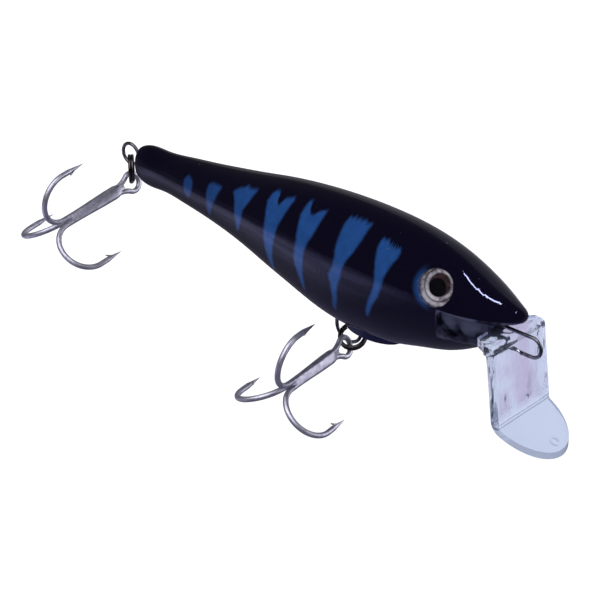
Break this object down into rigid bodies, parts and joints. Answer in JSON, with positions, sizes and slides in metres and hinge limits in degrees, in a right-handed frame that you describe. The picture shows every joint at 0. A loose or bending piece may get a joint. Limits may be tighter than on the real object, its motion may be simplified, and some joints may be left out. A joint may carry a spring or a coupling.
{
  "type": "crankbait lure",
  "caption": "Minnow-shaped crankbait with a clear stepped diving lip, a wire line tie, domed eyes, and swinging treble hooks on split rings at belly and tail.",
  "frame": {"origin": "centre of the line tie's eye, on the middle plane", "axes": "+X from tail to nose along the body, +Z to the back, -Y to the lure's right flank"},
  "size_m": [0.1846, 0.0571, 0.0579],
  "materials": {
    "body_lacquer": "glossy black lacquer with blue bars",
    "clear_polycarbonate": "clear moulded plastic, polished",
    "stainless_pin": "drawn",
    "black_nickel_wire": "black nickel plated wire",
    "steel_ballast": "plain steel",
    "natural_plastic": "natural moulded plastic",
    "eye_foil": "silver foil",
    "eye_pupil": "black print",
    "eye_lens": "clear domed resin",
    "split_ring_steel": "black nickel plated",
    "hook_nickel": "satin nickel plated",
    "hook_braze": "plated filler metal"
  },
  "bodies": {
    "lure_body": {"right_body_shell": "body_lacquer", "left_body_shell": "body_lacquer", "diving_lip": "clear_polycarbonate", "lip_cross_pin": "stainless_pin", "line_tie_wire": "black_nickel_wire", "belly_hook_hanger": "black_nickel_wire", "tail_hook_hanger": "black_nickel_wire", "front_ballast_weight": "steel_ballast", "rear_ballast_weight": "steel_ballast", "rattle_tube": "natural_plastic", "rattle_tube_cap": "natural_plastic", "right_eye_foil": "eye_foil", "right_eye_pupil": "eye_pupil", "right_eye_lens": "eye_lens", "left_eye_foil": "eye_foil", "left_eye_pupil": "eye_pupil", "left_eye_lens": "eye_lens"},
    "rattle_ball_row": {"rattle_balls": "steel_ballast"},
    "belly_ring": {"belly_split_ring": "split_ring_steel"},
    "belly_treble": {"belly_treble_double_hook": "hook_nickel", "belly_treble_single_hook": "hook_nickel", "belly_treble_braze": "hook_braze"},
    "tail_ring": {"tail_split_ring": "split_ring_steel"},
    "tail_treble": {"tail_treble_double_hook": "hook_nickel", "tail_treble_single_hook": "hook_nickel", "tail_treble_braze": "hook_braze"}
  },
  "joints": [
    {"name": "belly_ring_swing", "type": "hinge", "parent": "lure_body", "child": "belly_ring", "pos_m": [-0.0663, 0, -0.01879], "axis": [0, 1, 0], "range_deg": [-10, 70]},
    {"name": "belly_treble_swing", "type": "hinge", "parent": "belly_ring", "child": "belly_treble", "pos_m": [-0.06401, -0.00431, -0.02276], "axis": [0.9681, 0.1154, -0.2226], "range_deg": [-15, 130]},
    {"name": "tail_ring_swing", "type": "hinge", "parent": "lure_body", "child": "tail_ring", "pos_m": [-0.1575, 0, 0.00925], "axis": [0, 1, 0], "range_deg": [-2, 110]},
    {"name": "tail_treble_swing", "type": "hinge", "parent": "tail_ring", "child": "tail_treble", "pos_m": [-0.15597, -0.00141, 0.00035], "axis": [-0.5689, 0.5606, -0.6017], "range_deg": [-70, 85]},
    {"name": "rattle_slide", "type": "slide", "parent": "lure_body", "child": "rattle_ball_row", "axis": [1, 0, 0], "range_m": [-0.002, 0.002]}
  ]
}
